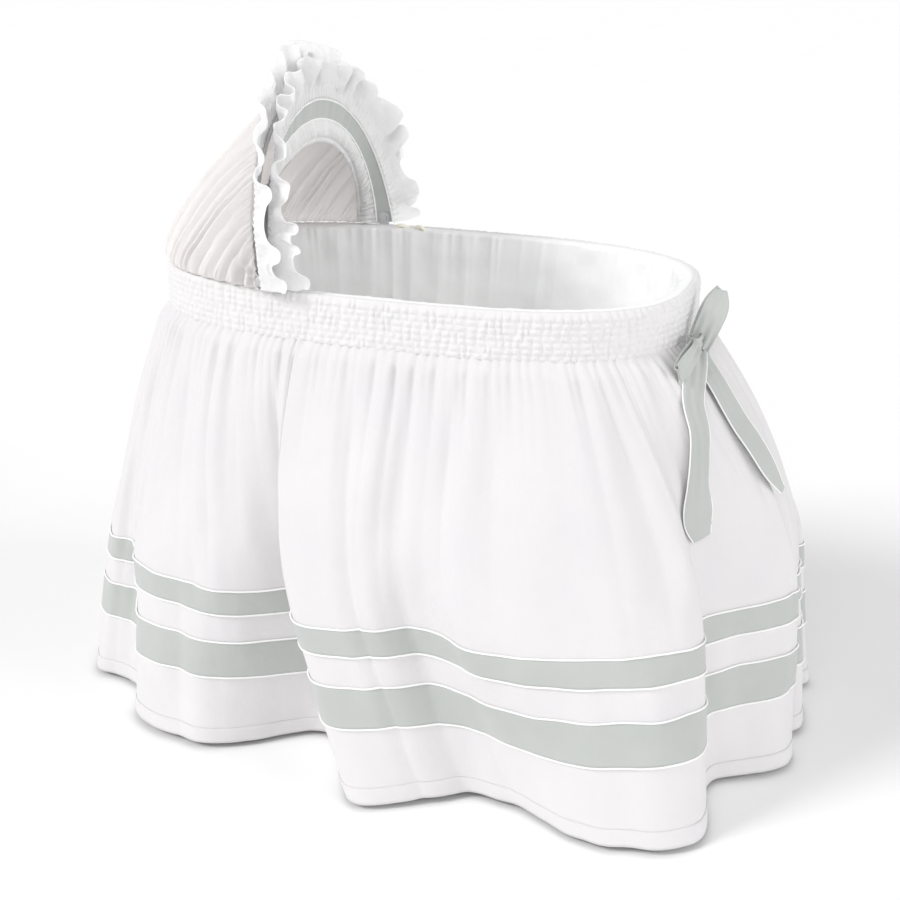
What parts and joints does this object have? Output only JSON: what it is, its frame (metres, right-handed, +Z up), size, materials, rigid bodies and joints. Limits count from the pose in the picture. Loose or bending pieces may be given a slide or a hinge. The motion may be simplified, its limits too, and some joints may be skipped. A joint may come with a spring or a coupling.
{
  "type": "baby bassinet",
  "caption": "Oval skirted baby bassinet with ribbon stripes and bow, fold-back gathered hood with ruffle, mattress, fold-away legs and swivel casters.",
  "frame": {"origin": "on the floor, under the middle of the basket and skirt", "axes": "+X towards the foot end, away from the hood; +Z up; -Y is the near long side, towards which the ribbon bow on the foot end sits"},
  "size_m": [1.1406, 0.742, 0.9787],
  "materials": {
    "skirt_cloth": "plain-woven cotton blend, matt",
    "grey_ribbon": "grey woven ribbon, soft sheen, white edge piping",
    "band_cloth": "smocked elasticated cotton",
    "liner_cloth": "soft lining cloth",
    "hood_cloth": "thin gathered cotton, slightly warm",
    "frill_cloth": "crisp gathered cotton",
    "cream_ribbon": "narrow satin ribbon",
    "mattress_cover": "quilted cotton ticking",
    "basket_weave": "moulded basket, matt",
    "board": "hardboard",
    "rail_wood": "planed beech, clear lacquer",
    "wire_enamel": "white enamelled steel wire",
    "zinc_steel": "bright zinc",
    "nylon": "white nylon, fine texture",
    "lever_plastic": "grey nylon",
    "hub_plastic": "white plastic",
    "tyre_rubber": "grey-black soft tread",
    "leg_enamel": "white powder coat"
  },
  "bodies": {
    "basket": {"base_board": "board", "base_rail_far": "rail_wood", "base_rail_near": "rail_wood", "basket_shell": "basket_weave", "bow_knot": "grey_ribbon", "bow_loops": "grey_ribbon", "bow_tails": "grey_ribbon", "elastic_band": "band_cloth", "foot_hinge_blocks": "nylon", "head_hinge_blocks": "nylon", "hood_bracket_far": "zinc_steel", "hood_bracket_near": "zinc_steel", "liner": "liner_cloth", "mattress": "mattress_cover", "rail_screws": "zinc_steel", "rim_hoop": "wire_enamel", "skirt_panel_far": "skirt_cloth", "skirt_panel_foot": "skirt_cloth", "skirt_panel_head": "skirt_cloth", "skirt_panel_near": "skirt_cloth", "skirt_ribbon_lower": "grey_ribbon", "skirt_ribbon_upper": "grey_ribbon", "tie_bows": "cream_ribbon"},
    "hood": {"hood_arch": "wire_enamel", "hood_cover": "hood_cloth", "hood_pins": "zinc_steel", "hood_ribbon": "grey_ribbon", "hood_ruffle": "frill_cloth", "hood_valance": "frill_cloth"},
    "head_legs": {"head_near_leg": "leg_enamel", "head_near_caster_bush": "nylon", "head_far_leg": "leg_enamel", "head_far_caster_bush": "nylon", "head_cross_tube": "leg_enamel", "head_foot_rail": "leg_enamel"},
    "foot_legs": {"foot_near_leg": "leg_enamel", "foot_near_caster_bush": "nylon", "foot_far_leg": "leg_enamel", "foot_far_caster_bush": "nylon", "foot_cross_tube": "leg_enamel", "foot_foot_rail": "leg_enamel"},
    "head_near_swivel": {"head_near_caster_fork": "nylon", "head_near_caster_axle": "zinc_steel"},
    "head_near_wheel": {"head_near_wheel_hub": "hub_plastic", "head_near_wheel_tyre": "tyre_rubber"},
    "head_far_swivel": {"head_far_caster_fork": "nylon", "head_far_caster_axle": "zinc_steel"},
    "head_far_wheel": {"head_far_wheel_hub": "hub_plastic", "head_far_wheel_tyre": "tyre_rubber"},
    "foot_near_swivel": {"foot_near_caster_fork": "nylon", "foot_near_caster_axle": "zinc_steel"},
    "foot_near_wheel": {"foot_near_wheel_hub": "hub_plastic", "foot_near_wheel_tyre": "tyre_rubber"},
    "foot_near_brake": {"foot_near_brake_lever": "lever_plastic"},
    "foot_far_swivel": {"foot_far_caster_fork": "nylon", "foot_far_caster_axle": "zinc_steel"},
    "foot_far_wheel": {"foot_far_wheel_hub": "hub_plastic", "foot_far_wheel_tyre": "tyre_rubber"},
    "foot_far_brake": {"foot_far_brake_lever": "lever_plastic"}
  },
  "joints": [
    {"name": "hood_fold", "type": "hinge", "parent": "basket", "child": "hood", "pos_m": [-0.158, 0, 0.702], "axis": [0, -1, 0], "range_deg": [0, 60], "deforming": ["hood_cover", "hood_valance"]},
    {"name": "head_legs_fold", "type": "hinge", "parent": "basket", "child": "head_legs", "pos_m": [-0.29, 0, 0.36], "axis": [0, -1, 0], "range_deg": [0, 85]},
    {"name": "foot_legs_fold", "type": "hinge", "parent": "basket", "child": "foot_legs", "pos_m": [0.29, 0, 0.398], "axis": [0, 1, 0], "range_deg": [0, 92]},
    {"name": "head_near_swivel_turn", "type": "hinge", "parent": "head_legs", "child": "head_near_swivel", "pos_m": [-0.32963, -0.185, 0.07], "axis": [0, 0, 1], "continuous": true},
    {"name": "head_near_wheel_spin", "type": "hinge", "parent": "head_near_swivel", "child": "head_near_wheel", "pos_m": [-0.34363, -0.185, 0.022], "axis": [0, 1, 0], "continuous": true},
    {"name": "head_far_swivel_turn", "type": "hinge", "parent": "head_legs", "child": "head_far_swivel", "pos_m": [-0.32963, 0.185, 0.07], "axis": [0, 0, 1], "continuous": true},
    {"name": "head_far_wheel_spin", "type": "hinge", "parent": "head_far_swivel", "child": "head_far_wheel", "pos_m": [-0.34363, 0.185, 0.022], "axis": [0, 1, 0], "continuous": true},
    {"name": "foot_near_swivel_turn", "type": "hinge", "parent": "foot_legs", "child": "foot_near_swivel", "pos_m": [0.33497, -0.12, 0.07], "axis": [0, 0, 1], "continuous": true},
    {"name": "foot_near_wheel_spin", "type": "hinge", "parent": "foot_near_swivel", "child": "foot_near_wheel", "pos_m": [0.32097, -0.12, 0.022], "axis": [0, 1, 0], "continuous": true},
    {"name": "foot_near_brake_press", "type": "hinge", "parent": "foot_near_swivel", "child": "foot_near_brake", "pos_m": [0.32097, -0.12, 0.049], "axis": [0, -1, 0], "range_deg": [0, 25]},
    {"name": "foot_far_swivel_turn", "type": "hinge", "parent": "foot_legs", "child": "foot_far_swivel", "pos_m": [0.33497, 0.12, 0.07], "axis": [0, 0, 1], "continuous": true},
    {"name": "foot_far_wheel_spin", "type": "hinge", "parent": "foot_far_swivel", "child": "foot_far_wheel", "pos_m": [0.32097, 0.12, 0.022], "axis": [0, 1, 0], "continuous": true},
    {"name": "foot_far_brake_press", "type": "hinge", "parent": "foot_far_swivel", "child": "foot_far_brake", "pos_m": [0.32097, 0.12, 0.049], "axis": [0, -1, 0], "range_deg": [0, 25]}
  ]
}
